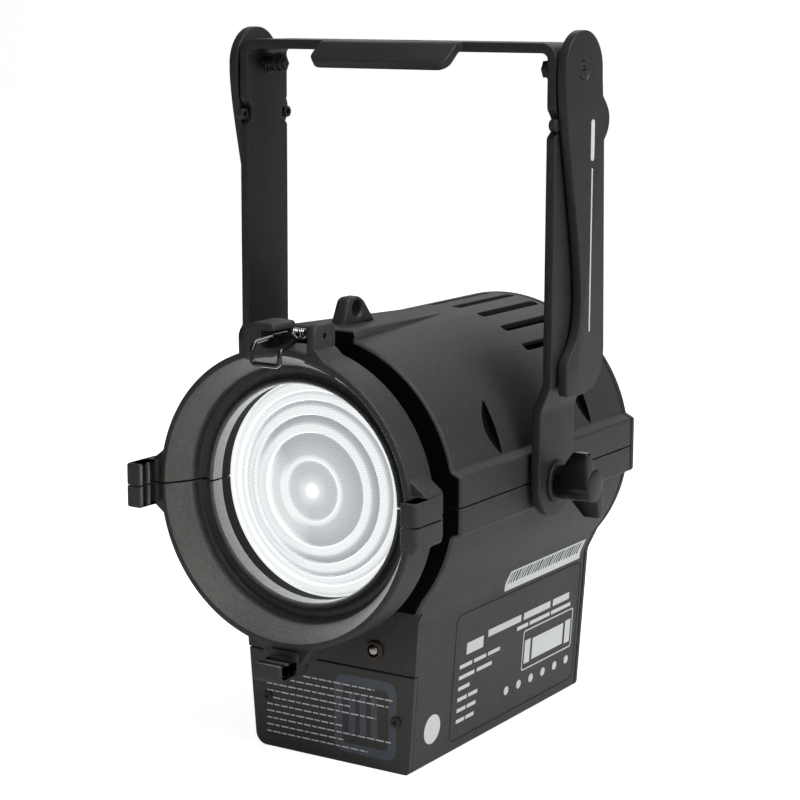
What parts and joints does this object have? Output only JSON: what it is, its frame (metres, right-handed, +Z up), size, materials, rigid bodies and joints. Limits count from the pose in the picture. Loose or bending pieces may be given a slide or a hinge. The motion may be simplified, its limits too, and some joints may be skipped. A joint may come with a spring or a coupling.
{
  "type": "fresnel spotlight",
  "caption": "Compact battery-powered LED fresnel spotlight: die-cast body on a flat battery box, bent-bar yoke with grip lip, swing-out stand legs, wing knobs and gel clips.",
  "frame": {"origin": "middle of the flat face the lamp stands on, under the battery box", "axes": "+Z up, the lens looks along -Y, +X to the right seen from in front"},
  "size_m": [0.185, 0.2105, 0.3057],
  "materials": {
    "cast_black": "satin black powder coat on die-cast aluminium, fine texture",
    "steel_black": "satin black paint on steel plate, paler rounded edges",
    "gloss_black": "glossy black moulded plastic",
    "matt_black": "fine matt black plastic",
    "rubber_black": "matt black rubber",
    "spring_steel": "dark shiny spring wire",
    "zinc": "bright zinc plate",
    "aluminium": "milled aluminium",
    "board_green": "circuit board with green solder mask",
    "lens_glass": "pressed stepped lens glass",
    "led_yellow": "phosphor over the light emitter",
    "pack_blue": "shrink-wrapped battery pack",
    "display_dark": "smoked display window"
  },
  "bodies": {
    "housing": {"upper_shell": "cast_black", "lower_shell": "cast_black", "safety_eyelet": "matt_black", "battery_cover": "steel_black", "cover_screw_left": "steel_black", "cover_screw_right": "steel_black", "indicator_bezel": "matt_black", "indicator_lens": "zinc", "trunnion_bush_left": "zinc", "trunnion_bush_right": "zinc", "fresnel_lens": "lens_glass", "lens_gasket": "rubber_black", "lens_retainer": "steel_black", "guide_rod_left": "zinc", "guide_rod_right": "zinc", "rear_panel": "steel_black", "panel_screw_1": "steel_black", "panel_screw_2": "steel_black", "panel_screw_3": "steel_black", "panel_screw_4": "steel_black", "power_inlet": "matt_black", "data_input": "zinc", "data_output": "zinc", "switch_frame": "matt_black", "display_window": "display_dark", "driver_board": "board_green", "battery_pack": "pack_blue", "bail_spring": "spring_steel"},
    "focus_carriage": {"heat_sink": "aluminium", "led_board": "board_green", "led_emitter": "led_yellow", "reflector_cup": "aluminium"},
    "zoom": {"zoom_knob": "matt_black", "lead_screw": "zinc"},
    "rocker": {"switch_rocker": "matt_black"},
    "button_1": {"menu_button_1": "matt_black"},
    "button_2": {"menu_button_2": "matt_black"},
    "button_3": {"menu_button_3": "matt_black"},
    "button_4": {"menu_button_4": "matt_black"},
    "bail": {"retaining_bail": "spring_steel"},
    "yoke": {"yoke_bracket": "steel_black", "index_pin_front_left": "steel_black", "index_pin_rear_left": "steel_black", "index_pin_front_right": "steel_black", "index_pin_rear_right": "steel_black", "pivot_spring_left": "spring_steel", "pivot_spring_right": "spring_steel"},
    "knob_carrier_left": {"knob_washer_left": "steel_black"},
    "knob_left": {"knob_left": "gloss_black", "knob_stud_left": "zinc"},
    "leg_carrier_left": {"pivot_screw_left": "steel_black", "pivot_nut_left": "steel_black"},
    "leg_left": {"stand_leg_left": "steel_black"},
    "knob_carrier_right": {"knob_washer_right": "steel_black"},
    "knob_right": {"knob_right": "gloss_black", "knob_stud_right": "zinc"},
    "leg_carrier_right": {"pivot_screw_right": "steel_black", "pivot_nut_right": "steel_black"},
    "leg_right": {"stand_leg_right": "steel_black"}
  },
  "joints": [
    {"name": "yoke_tilt", "type": "hinge", "parent": "housing", "child": "yoke", "pos_m": [0, -0.0085, 0.118], "axis": [1, 0, 0], "range_deg": [-120, 120]},
    {"name": "focus_slide", "type": "slide", "parent": "housing", "child": "focus_carriage", "axis": [0, 1, 0], "range_m": [-0.02, 0.03]},
    {"name": "zoom_turn", "type": "hinge", "parent": "housing", "child": "zoom", "pos_m": [0, 0.05, 0.0885], "axis": [0, 1, 0], "range_deg": [-721, 1081]},
    {"name": "rocker_tilt", "type": "hinge", "parent": "housing", "child": "rocker", "pos_m": [0.019, 0.0745, 0.02], "axis": [1, 0, 0], "range_deg": [0, 16]},
    {"name": "bail_lift", "type": "hinge", "parent": "housing", "child": "bail", "pos_m": [0, -0.097, 0.186], "axis": [-1, 0, 0], "range_deg": [0, 105], "stiffness_Nm_per_rad": 0.01, "springref_deg": -20.05},
    {"name": "button_1_press", "type": "slide", "parent": "housing", "child": "button_1", "axis": [0, -1, 0], "range_m": [0, 0.0008], "stiffness_N_per_m": 400},
    {"name": "button_2_press", "type": "slide", "parent": "housing", "child": "button_2", "axis": [0, -1, 0], "range_m": [0, 0.0008], "stiffness_N_per_m": 400},
    {"name": "button_3_press", "type": "slide", "parent": "housing", "child": "button_3", "axis": [0, -1, 0], "range_m": [0, 0.0008], "stiffness_N_per_m": 400},
    {"name": "button_4_press", "type": "slide", "parent": "housing", "child": "button_4", "axis": [0, -1, 0], "range_m": [0, 0.0008], "stiffness_N_per_m": 400},
    {"name": "knob_advance_left", "type": "slide", "parent": "housing", "child": "knob_carrier_left", "axis": [-1, 0, 0], "range_m": [0, 0.0025]},
    {"name": "knob_turn_left", "type": "hinge", "parent": "knob_carrier_left", "child": "knob_left", "pos_m": [-0.08, -0.0085, 0.118], "axis": [-1, 0, 0], "range_deg": [0, 721]},
    {"name": "leg_pull_left", "type": "slide", "parent": "yoke", "child": "leg_carrier_left", "axis": [-1, 0, 0], "range_m": [0, 0.004], "stiffness_N_per_m": 2000, "springref_m": -0.002, "deforming": ["pivot_spring_left"]},
    {"name": "leg_swing_left", "type": "hinge", "parent": "leg_carrier_left", "child": "leg_left", "pos_m": [-0.08185, -0.0085, 0.2897], "axis": [1, 0, 0], "range_deg": [-90, 90]},
    {"name": "knob_advance_right", "type": "slide", "parent": "housing", "child": "knob_carrier_right", "axis": [1, 0, 0], "range_m": [0, 0.0025]},
    {"name": "knob_turn_right", "type": "hinge", "parent": "knob_carrier_right", "child": "knob_right", "pos_m": [0.08, -0.0085, 0.118], "axis": [1, 0, 0], "range_deg": [0, 721]},
    {"name": "leg_pull_right", "type": "slide", "parent": "yoke", "child": "leg_carrier_right", "axis": [1, 0, 0], "range_m": [0, 0.004], "stiffness_N_per_m": 2000, "springref_m": -0.002, "deforming": ["pivot_spring_right"]},
    {"name": "leg_swing_right", "type": "hinge", "parent": "leg_carrier_right", "child": "leg_right", "pos_m": [0.08185, -0.0085, 0.2897], "axis": [1, 0, 0], "range_deg": [-90, 90]}
  ],
  "couplings": [
    {"joint": "zoom_turn", "follows": "focus_slide", "rad_per_m": 628.32},
    {"joint": "knob_turn_left", "follows": "knob_advance_left", "rad_per_m": 5026.5},
    {"joint": "knob_turn_right", "follows": "knob_advance_right", "rad_per_m": 5026.5}
  ]
}
